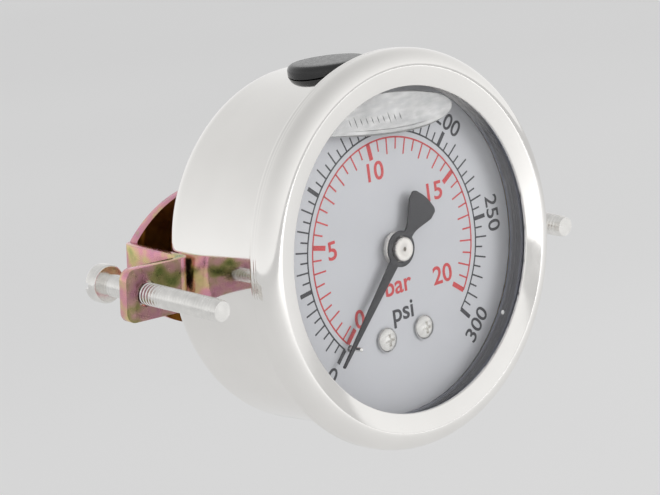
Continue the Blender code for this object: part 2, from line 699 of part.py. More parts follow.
# ---- assembly --------------------------------------------------------------------------
def main():
    clear_scene()
    steel = material("polished_steel", (0.80, 0.79, 0.77), 0.12, 1.0)
    glass = material("clear_window", (0.95, 0.97, 0.98), 0.02, 0.0, 0.25)
    rubber = material("black_rubber", (0.02, 0.02, 0.02), 0.55, 0.0)
    white = material("dial_enamel", (0.72, 0.74, 0.76), 0.5, 0.0)
    black = material("pointer_black", (0.03, 0.03, 0.03), 0.4, 0.0)
    brass = material("brass", (0.75, 0.58, 0.28), 0.3, 1.0)
    bronze = material("phosphor_bronze", (0.72, 0.45, 0.25), 0.3, 1.0)
    zinc = material("yellow_zinc", (0.72, 0.55, 0.42), 0.35, 1.0)
    screw_steel = material("bright_zinc", (0.78, 0.77, 0.74), 0.3, 1.0)

    make_case(steel)
    make_bezel(steel)
    make_window(glass)
    make_window_gasket(rubber)
    hang(empty("plug_axis", (0, PLUG_Y, 0)), make_fill_plug(rubber))

    make_dial(white)
    for name, side in (("left", -1), ("right", 1)):
        make_dial_screw(f"dial_screw_{name}", side * DIAL_SCREW[0], screw_steel)
        make_dial_post(f"dial_post_{name}", side * DIAL_SCREW[0], brass)
    make_stop_pin(screw_steel)

    pointer_axis = empty("pointer_axis")
    make_pointer(black, pointer_axis)
    make_pointer_hub(screw_steel, pointer_axis)
    make_pinion_arbor(screw_steel, pointer_axis)

    make_movement(brass, screw_steel)
    px, pz = sector_pivot()
    hang(empty("sector_axis", (px, 0, pz)), make_sector_gear(brass), make_sector_arbor(screw_steel))
    cx, cz = tube_centroid()
    hang(empty("tube_tip_axis", (cx, 0, cz)), make_tip_block(brass))
    hang(empty("link_axis", (TIP_BLOCK[0], 0, TIP_BLOCK[1])), make_link(brass))
    make_bourdon_tube(bronze)
    make_hairspring(bronze)

    make_socket(brass)
    make_socket_seal(rubber)
    for i, (x, z) in enumerate(socket_screw_places(), 1):
        make_socket_screw(f"socket_screw_{i}", x, z, screw_steel)
    make_restrictor(brass)

    stem_axis = empty("stem_axis")
    make_clamp_washer(screw_steel, stem_axis)
    make_clamp_nut(screw_steel, stem_axis)
    bracket_axis = empty("bracket_axis", (0, BRACKET_Y, 0), (BRACKET_ROCK, BRACKET_SWIVEL, 0))
    make_bracket(zinc, bracket_axis)
    for name, side in (("left", -1), ("right", 1)):
        screw_axis = empty(f"screw_{name}_axis", (side * SCREW_X, 0, 0), parent=bracket_axis)
        make_clamp_screw(f"clamp_screw_{name}", screw_steel, screw_axis)


main()
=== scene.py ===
"""Looks of a liquid-filled panel gauge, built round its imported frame.

The frame's axes hold: the dial faces -Y and +Z is twelve o'clock. Shapes are drawn in
millimetres and scaled once, in mesh_object().
"""
import math

import bmesh
import bpy
from mathutils import Matrix, Vector


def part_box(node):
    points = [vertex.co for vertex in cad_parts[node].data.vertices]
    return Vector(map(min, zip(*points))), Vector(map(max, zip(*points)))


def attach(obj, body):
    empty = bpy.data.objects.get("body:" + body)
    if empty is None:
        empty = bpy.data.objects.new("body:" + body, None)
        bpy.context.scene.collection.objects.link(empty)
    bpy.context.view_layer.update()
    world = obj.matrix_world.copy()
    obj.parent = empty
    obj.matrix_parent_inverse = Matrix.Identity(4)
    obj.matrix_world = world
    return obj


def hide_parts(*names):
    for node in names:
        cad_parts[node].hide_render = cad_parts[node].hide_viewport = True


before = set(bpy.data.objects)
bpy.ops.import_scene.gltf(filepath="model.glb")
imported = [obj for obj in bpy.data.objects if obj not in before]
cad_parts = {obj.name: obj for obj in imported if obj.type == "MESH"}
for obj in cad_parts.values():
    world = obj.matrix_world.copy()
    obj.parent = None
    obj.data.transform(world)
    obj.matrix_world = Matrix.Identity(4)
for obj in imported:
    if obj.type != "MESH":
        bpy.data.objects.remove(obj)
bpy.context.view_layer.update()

MM = 0.001
FINE = 192                # facets on the large turned pieces
MEDIUM = 64               # facets on the small ones
SHARP_ANGLE = 35          # degrees between faces that still shade as one surface
OFF_SEAM = 0.37           # share of a facet that a cutter is turned by, so no edges coincide
FRONT_VIEW = Matrix(((1, 0, 0), (0, 0, -1), (0, 1, 0)))  # drawing (x, y, z) to (x, -z, y)


def box_mm(node):
    low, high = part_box(node)
    return low / MM, high / MM


# ---- driving dimensions, millimetres ---------------------------------------------------
BEZEL_LOW, BEZEL_HIGH = box_mm("bezel_ring")
BEZEL_R = BEZEL_HIGH.x
BEZEL_FRONT = BEZEL_LOW.y
SHOULDER_R = 3.0
CONE_TILT = 14.0          # degrees that the bezel's face slopes in towards the window
ROLL_R = 0.9              # where the shoulder rolls over into the face
REAR_EDGE_R = 0.6
GROOVES_Y = (-1.1, -1.65)
GROOVE_DEPTH = 0.03
LIP_EDGE_R = 0.22
LIP_R = 27.6
LIP_Y = -4.05
CASE_R = 30.8
CASE_BACK = box_mm("case_shell")[1].y
CASE_CORNER = 4.0
CASE_FLANGE_R = 32.9
CASE_FLANGE_Y = (-1.35, -0.8)
REAR_OPENING_R = 8.3      # round the socket
FILL_HOLE_R = 4.6
SCREW_CIRCLE_R = 12.4     # the three socket screws
SCREW_HOLE_R = 1.5
SHEET = 0.7
WINDOW_LOW, WINDOW_HIGH = box_mm("window")
GASKET_LOW, GASKET_HIGH = box_mm("window_gasket")
GASKET_BORE = 28.8
PAINTED_LIGHT_Z = (15, 26)          # painted light: the gasket is painted paler between these heights, above the filling
DIAL_Y = box_mm("dial_plate")[0].y
PRINT_T = 0.03            # thickness of the ink
POINTER_LOW, POINTER_HIGH = (box_mm("pointer")[0].y, box_mm("pointer")[1].y)
POINTER_ANGLE = 225.2
HUB_RING_R = 3.1
TIP_REACH = 23.15
TAIL_REACH = 10.3
PLUG_LOW, PLUG_HIGH = box_mm("fill_plug")
PLUG_CENTRE_Y = (PLUG_LOW.y + PLUG_HIGH.y) / 2
PLUG_R = (PLUG_HIGH.x - PLUG_LOW.x) / 2
NUT_LOW, NUT_HIGH = box_mm("clamp_nut")
SOCKET_END = box_mm("socket")[1].y
STEM_R = 6.58
PORT_R = 2.5
HEX_AF = 17.0             # the socket's hexagon, across its flats
NUT_AF = 19.0
HEX_Y = (25.8, 31.0)
STEM_PITCH = 1.337        # G 1/4 thread

BLACK_ARC_R = 20.0
RED_ARC_R = 18.87
LINE_W = 0.28
BLACK_BOLD_W = 0.72       # every 50 psi
RED_BOLD_W = 0.85         # every 5 bar
BLACK_TICKS = (2.7, 1.7)  # lengths: every 10 psi, and in between
RED_TICKS = (2.9, 2.8, 2.0)   # lengths: every 5 bar, every bar, every half bar
BLACK_NUMERAL_H = 2.8
RED_NUMERAL_H = 3.05
UNIT_H = 3.1
NUMERAL_R = 24.9
NUMERAL_SHIFT = (-0.15, -0.1)
LETTER_STRETCH = 1.08     # width against height
LETTER_DEPTH = 0.01       # half the thickness before scaling, in letter heights
THIN_STROKE = 0.01        # how far a stroke is fattened, in letter heights
BOLD_STROKE = 0.015
RED_NUMERALS = {0: (-9.9, -9.9), 5: (-14.1, 2.9), 10: (-2.4, 13.8), 15: (10.9, 7.5), 20: (10.7, -7.0)}
FULL_ANGLE = -45.0        # full scale, degrees from +X
ZERO_ANGLE = 225.0
DEGREES_PER_PSI = 0.931
PSI_PER_BAR = 14.5038

BRACKET_AT = (0, 32.94, 0)
BRACKET_TURN = (5.19, 3.48)   # droop about X, then swivel about Y, degrees
BRACKET_T = 1.8
ARM_X = 31.9
ARM_H = 4.5
EAR_X = 45.5
EAR_Y = -14.8
MIDDLE_H = 12.3
STEM_HOLE_R = 7.6
EAR_HOLE_R = 2.15
BOW_X = 13.8
BOW_R = 22.0
BEND_R = 1.7
BEND_STEPS = 10
SCREW_X = 41.05
SCREW_TIP = -34.05
SCREW_HEAD = -5.95
SCREW_R = 1.9
SCREW_HEAD_R = 3.3
SCREW_HEAD_T = 2.6
SCREW_PITCH = 0.7


# ---- mesh tools --------------------------------------------------------------------------
def arc(centre, radius, start, end, steps):
    """Points of an arc, angles in degrees."""
    points = []
    for i in range(steps + 1):
        a = math.radians(start + (end - start) * i / steps)
        points.append((centre[0] + radius * math.cos(a), centre[1] + radius * math.sin(a)))
    return points


def polar(radius, degrees):
    a = math.radians(degrees)
    return radius * math.cos(a), radius * math.sin(a)


def bezier(p0, p1, p2, p3, steps):
    points = []
    for i in range(steps + 1):
        t = i / steps
        s = 1 - t
        weights = (s ** 3, 3 * s * s * t, 3 * s * t * t, t ** 3)
        points.append(tuple(sum(w * p[k] for w, p in zip(weights, (p0, p1, p2, p3))) for k in (0, 1)))
    return points


def add_turned(bm, profile, steps=MEDIUM, centre=(0, 0, 0), axis="Y", phase=0.0):
    """Revolves a closed (radius, height) outline about an axis through centre."""
    rings = []
    for radius, height in profile:
        ring = []
        for i in range(1 if radius < 1e-6 else steps):
            u, v = polar(radius, 360 * (i + phase) / steps)
            offset = Vector((u, height, v) if axis == "Y" else (u, v, height))
            ring.append(bm.verts.new(Vector(centre) + offset))
        rings.append(ring)
    for low, high in zip(rings, rings[1:] + rings[:1]):
        for i in range(steps):
            j = (i + 1) % steps
            corners = [low[i % len(low)], low[j % len(low)], high[j % len(high)], high[i % len(high)]]
            corners = list(dict.fromkeys(corners))
            if len(corners) > 2:
                bm.faces.new(corners)
    return bm


def add_prism(bm, outline, low, high, axis="Y"):
    """Extrudes a closed outline, drawn as (x, z) for axis Y or (x, y) for axis Z."""
    ends = []
    for height in (low, high):
        place = [(u, height, v) if axis == "Y" else (u, v, height) for u, v in outline]
        ends.append([bm.verts.new(p) for p in place])
    count = len(outline)
    for i in range(count):
        j = (i + 1) % count
        bm.faces.new((ends[0][i], ends[0][j], ends[1][j], ends[1][i]))
    bm.faces.new(ends[0])
    bm.faces.new(ends[1])
    return bm


def add_thread(bm, root, crest, pitch, low, high, centre=(0, 0, 0), steps=32):
    """A helical ridge round a core of radius root, running out at both ends."""
    turns = (high - low) / pitch - 1
    count = int(turns * steps)
    sections = []
    for i in range(count + 1):
        a = 2 * math.pi * i / steps
        rise = min(1, i / steps, (count - i) / steps)
        tip = root + (crest - root) * max(rise, 0.05)
        y = low + pitch * (0.5 + i / steps)
        ring = []
        for radius, shift in ((root - 0.1, -0.5), (tip, -0.08), (tip, 0.08), (root - 0.1, 0.5)):
            ring.append(bm.verts.new((centre[0] + radius * math.cos(a), y + shift * pitch,
                                      centre[2] + radius * math.sin(a))))
        sections.append(ring)
    for near, far in zip(sections, sections[1:]):
        for k in range(4):
            j = (k + 1) % 4
            bm.faces.new((near[k], near[j], far[j], far[k]))
    bm.faces.new(sections[0])
    bm.faces.new(sections[-1])
    return bm


def mesh_object(name, bm, smooth=SHARP_ANGLE):
    """Turns a bmesh in millimetres into an object in metres, its faces pointing out."""
    bmesh.ops.recalc_face_normals(bm, faces=bm.faces)
    bmesh.ops.scale(bm, vec=(MM, MM, MM), verts=bm.verts)
    mesh = bpy.data.meshes.new(name)
    bm.to_mesh(mesh)
    bm.free()
    mesh.shade_smooth()
    mesh.set_sharp_from_angle(angle=math.radians(smooth))
    obj = bpy.data.objects.new(name, mesh)
    bpy.context.scene.collection.objects.link(obj)
    return obj


def add_piece(name, bm, mat, body, replaced=(), smooth=SHARP_ANGLE, bevel=0.0,
              tools=()):
    """Makes a piece of the gauge. tools are (operation, bmesh) pairs that shape it first."""
    obj = mesh_object(name, bm, smooth)
    for operation, tool_bm in tools:
        combine(obj, tool_bm, operation)
    if bevel:
        soften = obj.modifiers.new("soft_edges", "BEVEL")
        soften.width = bevel * MM
        soften.segments = 3
        soften.limit_method = "ANGLE"
        soften.angle_limit = math.radians(SHARP_ANGLE)
        soften.harden_normals = True
        apply_modifiers(obj)
    obj.data.materials.clear()
    obj.data.materials.append(mat)
    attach(obj, body)
    if replaced:
        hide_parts(*replaced)
    return obj


def apply_modifiers(obj):
    depsgraph = bpy.context.evaluated_depsgraph_get()
    mesh = bpy.data.meshes.new_from_object(obj.evaluated_get(depsgraph))
    obj.modifiers.clear()
    obj.data = mesh
    mesh.shade_smooth()
    mesh.set_sharp_from_angle(angle=math.radians(SHARP_ANGLE))


def combine(obj, tool_bm, operation):
    """Cuts, joins or trims obj with a helper solid, which is then thrown away."""
    tool = mesh_object(obj.name + "_tool", tool_bm)
    mod = obj.modifiers.new("shape", "BOOLEAN")
    mod.operation = operation
    mod.solver = "EXACT"
    mod.object = tool
    apply_modifiers(obj)
    bpy.data.objects.remove(tool, do_unlink=True)


# ---- materials ---------------------------------------------------------------------------
ROUND_SHARE = 0.02        # how little a lathe mark changes along its turn
GLASS_IOR = 1.45


class Finish:
    """A node material in the making, with short ways to add texture to its shader."""

    def __init__(self, name, colour, roughness, metallic=0.0, **sockets):
        self.mat = bpy.data.materials.new(name)
        self.mat.use_nodes = True
        self.tree = self.mat.node_tree
        self.shader = self.tree.nodes["Principled BSDF"]
        self.shader.inputs["Base Color"].default_value = (*colour, 1)
        self.shader.inputs["Roughness"].default_value = roughness
        self.shader.inputs["Metallic"].default_value = metallic
        for socket, value in sockets.items():
            self.shader.inputs[socket.replace("_", " ")].default_value = value
        self.height = None

    def node(self, kind, **values):
        made = self.tree.nodes.new(kind)
        for key, value in values.items():
            setattr(made, key, value)
        return made

    def link(self, source, target):
        self.tree.links.new(source, target)

    def place(self, stretch=(1, 1, 1)):
        """Object coordinates, stretched."""
        coordinates = self.node("ShaderNodeTexCoord")
        mapping = self.node("ShaderNodeMapping")
        mapping.inputs["Scale"].default_value = stretch
        self.link(coordinates.outputs["Object"], mapping.inputs["Vector"])
        return mapping.outputs["Vector"]

    def turned_place(self):
        """Distance from the Y axis and height along it: what a lathe's marks follow."""
        coordinates = self.node("ShaderNodeTexCoord")
        parts = self.node("ShaderNodeSeparateXYZ")
        self.link(coordinates.outputs["Object"], parts.inputs[0])
        radius = self.node("ShaderNodeVectorMath", operation="LENGTH")
        flat = self.node("ShaderNodeCombineXYZ")
        self.link(parts.outputs["X"], flat.inputs["X"])
        self.link(parts.outputs["Z"], flat.inputs["Z"])
        self.link(flat.outputs[0], radius.inputs[0])
        around = self.node("ShaderNodeMath", operation="MULTIPLY")
        around.inputs[1].default_value = ROUND_SHARE
        self.link(parts.outputs["Z"], around.inputs[0])
        joined = self.node("ShaderNodeCombineXYZ")
        self.link(radius.outputs["Value"], joined.inputs["X"])
        self.link(parts.outputs["Y"], joined.inputs["Y"])
        self.link(around.outputs[0], joined.inputs["Z"])
        return joined.outputs[0]

    def noise(self, size_mm, place=None, detail=3.0, contrast=0.5):
        texture = self.node("ShaderNodeTexNoise")
        texture.inputs["Scale"].default_value = 1 / (size_mm * MM)
        texture.inputs["Detail"].default_value = detail
        texture.inputs["Roughness"].default_value = contrast
        self.link(place or self.place(), texture.inputs["Vector"])
        return texture.outputs["Fac"]

    def spread(self, source, low, high, start=0.3, end=0.7):
        """Maps a noise or a coordinate onto a range of values."""
        ramp = self.node("ShaderNodeMapRange")
        for socket, value in (("From Min", start), ("From Max", end), ("To Min", low), ("To Max", high)):
            ramp.inputs[socket].default_value = value
        self.link(source, ramp.inputs["Value"])
        return ramp.outputs["Result"]

    def colours(self, source, stops):
        ramp = self.node("ShaderNodeValToRGB")
        elements = ramp.color_ramp.elements
        while len(elements) < len(stops):
            elements.new(0.5)
        for element, (position, colour) in zip(elements, stops):
            element.position = position
            element.color = (*colour, 1)
        self.link(source, ramp.inputs["Fac"])
        self.link(ramp.outputs["Color"], self.shader.inputs["Base Color"])
        return ramp

    def rough(self, source, low, high):
        self.link(self.spread(source, low, high), self.shader.inputs["Roughness"])

    def bump(self, source, depth_mm):
        """Adds relief; several calls add up."""
        relief = self.node("ShaderNodeBump")
        relief.inputs["Distance"].default_value = depth_mm * MM
        relief.inputs["Strength"].default_value = 1.0
        self.link(source, relief.inputs["Height"])
        if self.height is not None:
            self.link(self.height, relief.inputs["Normal"])
        self.height = relief.outputs["Normal"]
        self.link(self.height, self.shader.inputs["Normal"])


def tints(colour, *factors):
    return [tuple(min(1.0, channel * f) for channel in colour) for f in factors]


def polished_steel(name, colour=(0.93, 0.915, 0.89), rough=(0.05, 0.12), grain=0.0006):
    """Drawn and buffed stainless sheet: lathe-fine grain, faint smears, slight waviness."""
    f = Finish(name, colour, rough[0], 1.0)
    smear = f.noise(9, detail=4)
    f.colours(smear, list(zip((0.3, 0.7), tints(colour, 0.965, 1.0))))
    f.rough(f.noise(4, detail=6), *rough)
    f.bump(f.noise(0.35, f.turned_place(), 2), grain)
    f.bump(f.noise(14, detail=1), 0.02)
    return f.mat


def plated_steel(name, colour=(0.86, 0.85, 0.825), rough=(0.16, 0.28)):
    """Bright zinc plating over rolled threads and stamped edges."""
    f = Finish(name, colour, rough[0], 1.0)
    f.colours(f.noise(1.6, detail=5), list(zip((0.3, 0.6, 0.75), tints(colour, 0.9, 1.0, 1.06))))
    f.rough(f.noise(0.8, detail=4), *rough)
    f.bump(f.noise(0.25, detail=3), 0.0008)
    return f.mat


def yellow_zinc(name, stops, rough=(0.16, 0.3)):
    """Chromate on zinc: patches drift from pink through gold to green as the film varies."""
    f = Finish(name, stops[0][1], rough[0], 1.0)
    cloud = f.noise(5.5, detail=2.5, contrast=0.6)
    f.colours(cloud, stops)
    f.rough(f.noise(1.2, detail=4), *rough)
    f.bump(f.noise(0.5, detail=3), 0.004)
    return f.mat


def brass(name, colour=(0.78, 0.60, 0.30), size=0.3):
    f = Finish(name, colour, 0.25, 1.0)
    f.colours(f.noise(2.5, detail=5), list(zip((0.3, 0.7), tints(colour, 0.85, 1.05))))
    f.rough(f.noise(1.1, detail=4), 0.18, 0.36)
    f.bump(f.noise(size, f.place((1, 8, 1)), 2), 0.003)
    return f.mat


def rubber(name, colour=(0.012, 0.012, 0.013), rough=(0.36, 0.5), rim=None):
    """Moulded rubber; rim is (colour, front, rear): painted highlight bands, paler at both depths, and
    painted light, pale near the top.
    """
    f = Finish(name, colour, rough[0], 0.0, Specular_IOR_Level=0.6)
    f.colours(f.noise(3, detail=4), list(zip((0.3, 0.75), tints(colour, 0.8, 1.8))))
    if rim:
        parts = f.node("ShaderNodeSeparateXYZ")
        f.link(f.place(), parts.inputs[0])
        depth = f.spread(parts.outputs["Y"], 0, 1, rim[1] * MM, rim[2] * MM)
        highlight_bands = f.colours(depth, [(0.1, rim[0]), (0.25, colour), (0.85, colour), (0.95, rim[0])])
        above = f.spread(parts.outputs["Z"], 0, 1, *(z * MM for z in PAINTED_LIGHT_Z))
        painted_light_top = f.node("ShaderNodeMix", data_type="RGBA")
        f.link(above, painted_light_top.inputs["Factor"])
        f.link(highlight_bands.outputs["Color"], painted_light_top.inputs["A"])
        painted_light_top.inputs["B"].default_value = (0.72, 0.71, 0.69, 1)
        f.link(painted_light_top.outputs["Result"], f.shader.inputs["Base Color"])
    f.rough(f.noise(0.7, detail=5), *rough)
    f.bump(f.noise(0.12, detail=3), 0.006)
    return f.mat


def enamel(name, colour=(0.545, 0.553, 0.58)):
    """Matt dial enamel: faint orange peel and a little cloudiness."""
    f = Finish(name, colour, 0.5, 0.0, Specular_IOR_Level=0.35)
    f.colours(f.noise(12, detail=2), list(zip((0.3, 0.7), tints(colour, 0.985, 1.015))))
    f.rough(f.noise(0.6, detail=2), 0.46, 0.6)
    f.bump(f.noise(0.3, detail=2), 0.002)
    return f.mat


def ink(name, colour, rough=0.5):
    """Screen-printed ink, a little uneven in cover."""
    f = Finish(name, colour, rough, 0.0, Specular_IOR_Level=0.3)
    f.colours(f.noise(0.5, detail=4), list(zip((0.3, 0.7), tints(colour, 0.92, 1.1))))
    f.bump(f.noise(0.12, detail=2), 0.002)
    return f.mat


def clear_glass(name):
    """A thin clear pane: what is behind shows through, and outward faces mirror by Fresnel."""
    f = Finish(name, (0.97, 0.985, 0.99), 0.02)
    see_through = f.node("ShaderNodeBsdfTransparent")
    see_through.inputs["Color"].default_value = (0.985, 0.985, 0.985, 1)
    gloss = f.node("ShaderNodeBsdfGlossy")
    gloss.inputs["Roughness"].default_value = 0.02
    gloss.inputs["Color"].default_value = (1, 1, 1, 1)
    fresnel = f.node("ShaderNodeFresnel")
    fresnel.inputs["IOR"].default_value = GLASS_IOR
    share = f.spread(f.noise(20, detail=2), 0.9, 1.1)
    amount = f.node("ShaderNodeMath", operation="MULTIPLY")
    f.link(fresnel.outputs[0], amount.inputs[0])
    f.link(share, amount.inputs[1])
    side = f.node("ShaderNodeNewGeometry")
    outer = f.node("ShaderNodeMath", operation="SUBTRACT")
    outer.inputs[0].default_value = 1.0
    f.link(side.outputs["Backfacing"], outer.inputs[1])
    outward = f.node("ShaderNodeMath", operation="MULTIPLY")
    f.link(amount.outputs[0], outward.inputs[0])
    f.link(outer.outputs[0], outward.inputs[1])
    mix = f.node("ShaderNodeMixShader")
    f.link(outward.outputs[0], mix.inputs["Fac"])
    f.link(see_through.outputs[0], mix.inputs[1])
    f.link(gloss.outputs[0], mix.inputs[2])
    f.link(mix.outputs[0], f.tree.nodes["Material Output"].inputs["Surface"])
    f.tree.nodes.remove(f.shader)
    return f.mat


def air_bubble(name):
    """The skin of the air bubble: milky, with painted highlights and shade in brighter and greyer streaks,
    unevenly clear.
    """
    f = Finish(name, (0.86, 0.86, 0.855), 0.06, 0.0, Coat_Weight=0.6, Coat_Roughness=0.03)
    # painted highlights and painted shade: brighter and greyer streaks across the bubble
    light_and_shade_streaks = f.noise(3.2, f.place((1, 1, 3.5)), 3)
    f.colours(light_and_shade_streaks, [(0.35, (0.70, 0.705, 0.71)), (0.5, (0.77, 0.77, 0.765)), (0.65, (0.88, 0.88, 0.875))])
    f.link(f.spread(f.noise(5, detail=2), 0.5, 0.8), f.shader.inputs["Alpha"])
    f.bump(f.noise(3.5, f.place((0.4, 1, 2)), 1), 0.03)
    return f.mat


STEEL_CASE = polished_steel("case_steel")
STEEL_BEZEL = polished_steel("bezel_steel", (0.92, 0.905, 0.88), (0.06, 0.13))
PLATED = plated_steel("bright_screws")
DARK_STEEL = plated_steel("arbor_steel", (0.60, 0.59, 0.58), (0.22, 0.36))
HUB_METAL = polished_steel("hub_metal", (0.90, 0.87, 0.83), (0.22, 0.34), 0.004)
FILM = [(0.30, (0.34, 0.42, 0.16)), (0.40, (0.74, 0.60, 0.30)), (0.50, (0.80, 0.40, 0.42)),
        (0.60, (0.72, 0.33, 0.45)), (0.70, (0.42, 0.50, 0.22))]
ZINC = yellow_zinc("yellow_zinc", FILM)
# painted shade: dark brown stops for the bracket's inner front faces, which lie in shadow before the case
PAINTED_SHADE_STOPS = [(0.30, (0.10, 0.028, 0.008)), (0.48, (0.16, 0.055, 0.010)), (0.62, (0.22, 0.09, 0.015)),
              (0.75, (0.13, 0.05, 0.02))]
PAINTED_SHADE_ZINC = yellow_zinc("yellow_zinc_painted_shade", PAINTED_SHADE_STOPS, (0.3, 0.42))
OLIVE_FILM = [(0.32, (0.13, 0.15, 0.045)), (0.43, (0.27, 0.24, 0.10)), (0.52, (0.46, 0.27, 0.25)),
              (0.62, (0.44, 0.21, 0.27)), (0.74, (0.15, 0.09, 0.04))]
OLIVE_ZINC = yellow_zinc("yellow_zinc_olive", OLIVE_FILM, (0.22, 0.36))
BRASS = brass("movement_brass")
SOCKET_BRASS = brass("socket_brass", (0.76, 0.60, 0.31))
BRONZE = brass("spring_bronze", (0.74, 0.44, 0.24), 0.2)
RUBBER = rubber("plug_rubber", (0.006, 0.006, 0.0065), (0.2, 0.32))
# painted highlight: paler bluish bands at the gasket's front and rear depths, and painted light near its top
GASKET = rubber("gasket_rubber", (0.095, 0.096, 0.108), (0.3, 0.42), ((0.21, 0.22, 0.26), -2.1, 0.6))
ENAMEL = enamel("dial_enamel")
BLACK_INK = ink("black_ink", (0.045, 0.045, 0.052))
RED_INK = ink("red_ink", (0.56, 0.055, 0.06))
LACQUER = ink("pointer_black", (0.028, 0.028, 0.033), 0.38)
GLASS = clear_glass("clear_window")
BUBBLE = air_bubble("bubble_skin")
# painted shade: dark grey ink for the wires along the bubble's edges
BUBBLE_EDGE_SHADE = ink("bubble_edge_shade", (0.24, 0.245, 0.24), 0.3)


# ---- case, bezel and window ----------------------------------------------------------------
def socket_screw_places():
    return [polar(SCREW_CIRCLE_R, a) for a in (90, 210, 330)]


def add_case():
    inner = CASE_R - SHEET
    back_in = CASE_BACK - SHEET
    corner_in = CASE_CORNER - SHEET
    flange_front, flange_rear = CASE_FLANGE_Y
    profile = [(inner, flange_front), (CASE_FLANGE_R, flange_front), (CASE_FLANGE_R, flange_rear),
               (CASE_R, flange_rear)]
    profile += arc((CASE_R - CASE_CORNER, CASE_BACK - CASE_CORNER), CASE_CORNER, 0, 90, 14)
    profile += [(REAR_OPENING_R + 0.2, CASE_BACK), (REAR_OPENING_R, CASE_BACK - 0.2),
                (REAR_OPENING_R, back_in)]
    profile += arc((inner - corner_in, back_in - corner_in), corner_in, 90, 0, 10)
    fill_hole = add_turned(bmesh.new(), [(0, 25), (FILL_HOLE_R, 25), (FILL_HOLE_R, 35), (0, 35)], MEDIUM,
                           (0, PLUG_CENTRE_Y, 0), "Z", OFF_SEAM)
    tools = [("DIFFERENCE", fill_hole)]
    for x, z in socket_screw_places():
        hole = [(0, back_in - 1), (SCREW_HOLE_R, back_in - 1), (SCREW_HOLE_R, CASE_BACK + 1),
                (0, CASE_BACK + 1)]
        tools.append(("DIFFERENCE", add_turned(bmesh.new(), hole, 32, (x, 0, z), "Y", OFF_SEAM)))
    case = add_turned(bmesh.new(), profile, FINE)
    add_piece("case_cup", case, STEEL_CASE, "root", ["case_shell"], 30, tools=tools)


def add_bezel():
    """Crimped ring: rolled rear edge, side band, round shoulder and a cone down to the lip."""
    front_r = BEZEL_R - SHOULDER_R
    rear = BEZEL_HIGH.y
    crest = arc((front_r, BEZEL_FRONT + SHOULDER_R), SHOULDER_R, 0, -90, 26)
    crest += arc((front_r, BEZEL_FRONT + ROLL_R), ROLL_R, -92, -90 - CONE_TILT, 4)
    profile = [(31.1, rear), (33.2, rear)]
    profile += arc((BEZEL_R - REAR_EDGE_R, rear - REAR_EDGE_R), REAR_EDGE_R, 80, 0, 6)[1:]
    groove_r = BEZEL_R - GROOVE_DEPTH
    for y in GROOVES_Y:
        profile += [(BEZEL_R, y + 0.12), (groove_r, y + 0.05), (groove_r, y - 0.05), (BEZEL_R, y - 0.12)]
    profile += crest
    profile += arc((LIP_R + LIP_EDGE_R, LIP_Y + 0.2), LIP_EDGE_R, -100, -180, 5)
    profile += [(LIP_R, LIP_Y + 0.45), (29.6, LIP_Y + 0.45), (31.0, BEZEL_FRONT + 0.75),
                (32.4, BEZEL_FRONT + 1.4), (33.3, BEZEL_FRONT + 2.9), (33.3, -0.5), (31.1, -0.5)]
    bezel = add_turned(bmesh.new(), profile, FINE)
    add_piece("bezel_crimp", bezel, STEEL_BEZEL, "root", ["bezel_ring"], 40)


def add_window():
    radius = WINDOW_HIGH.x
    front, rear = WINDOW_LOW.y, WINDOW_HIGH.y
    profile = [(0, front), (radius - 0.2, front), (radius, front + 0.2), (radius, rear - 0.2),
               (radius - 0.2, rear), (0, rear)]
    add_piece("window_pane", add_turned(bmesh.new(), profile, FINE), GLASS, "root",
              ["window"])
    low, high = GASKET_LOW.y, GASKET_HIGH.y
    outer = GASKET_HIGH.x
    profile = [(GASKET_BORE + 0.1, low), (outer, low), (outer, low + 0.45), (29.7, low + 0.45), (29.7, high),
               (28.35, high), (28.35, high - 0.12), (GASKET_BORE - 0.1, high - 0.25),
               (GASKET_BORE, high - 0.4), (GASKET_BORE, low + 1.9), (GASKET_BORE + 0.12, low + 1.75),
               (GASKET_BORE + 0.12, low + 1.45), (GASKET_BORE, low + 1.3), (GASKET_BORE, low + 0.12)]
    add_piece("gasket_ring", add_turned(bmesh.new(), profile, FINE), GASKET, "root",
              ["window_gasket"])


def add_fill_plug():
    """Rubber mushroom: nearly flat head with a soft rim, saddled to the case, stem in the hole."""
    top = PLUG_HIGH.z
    rim = 1.1
    profile = [(0, 27.0), (PLUG_R - 0.15, 27.0), (PLUG_R, 29.5)]
    profile += arc((PLUG_R - rim, top - rim), rim, 5, 78, 8)
    profile += [(PLUG_R - 2.6, top - 0.02), (PLUG_R - 4.4, top), (0, top)]
    centre = (0, PLUG_CENTRE_Y, 0)
    saddle = add_turned(bmesh.new(), [(0, -8), (CASE_R + 0.12, -8), (CASE_R + 0.12, 32), (0, 32)], FINE)
    stem = add_turned(bmesh.new(), [(0, 26.6), (3.4, 26.6), (4.2, 28.0), (4.2, 31.6), (0, 31.6)], 48,
                      centre, "Z")
    plug = add_turned(bmesh.new(), profile, 96, centre, "Z")
    add_piece("plug_body", plug, RUBBER, "plug", ["fill_plug"], 40,
              tools=[("DIFFERENCE", saddle), ("UNION", stem)])


# ---- dial print ----------------------------------------------------------------------------
def psi_angle(psi):
    return ZERO_ANGLE if psi == 0 else FULL_ANGLE + DEGREES_PER_PSI * (300 - psi)


def add_line(bm, angle, inner, outer, width):
    """One radial tick."""
    turn = Matrix.Rotation(math.radians(angle), 2)
    half = width / 2
    corners = [turn @ Vector(p) for p in ((inner, -half), (outer, -half), (outer, half), (inner, half))]
    add_prism(bm, [tuple(c) for c in corners], DIAL_Y - PRINT_T, DIAL_Y)


def add_arc_line(bm, radius, start, end):
    outer = arc((0, 0), radius + LINE_W / 2, start, end, 128)
    inner = arc((0, 0), radius - LINE_W / 2, end, start, 128)
    add_prism(bm, outer + inner, DIAL_Y - PRINT_T, DIAL_Y)


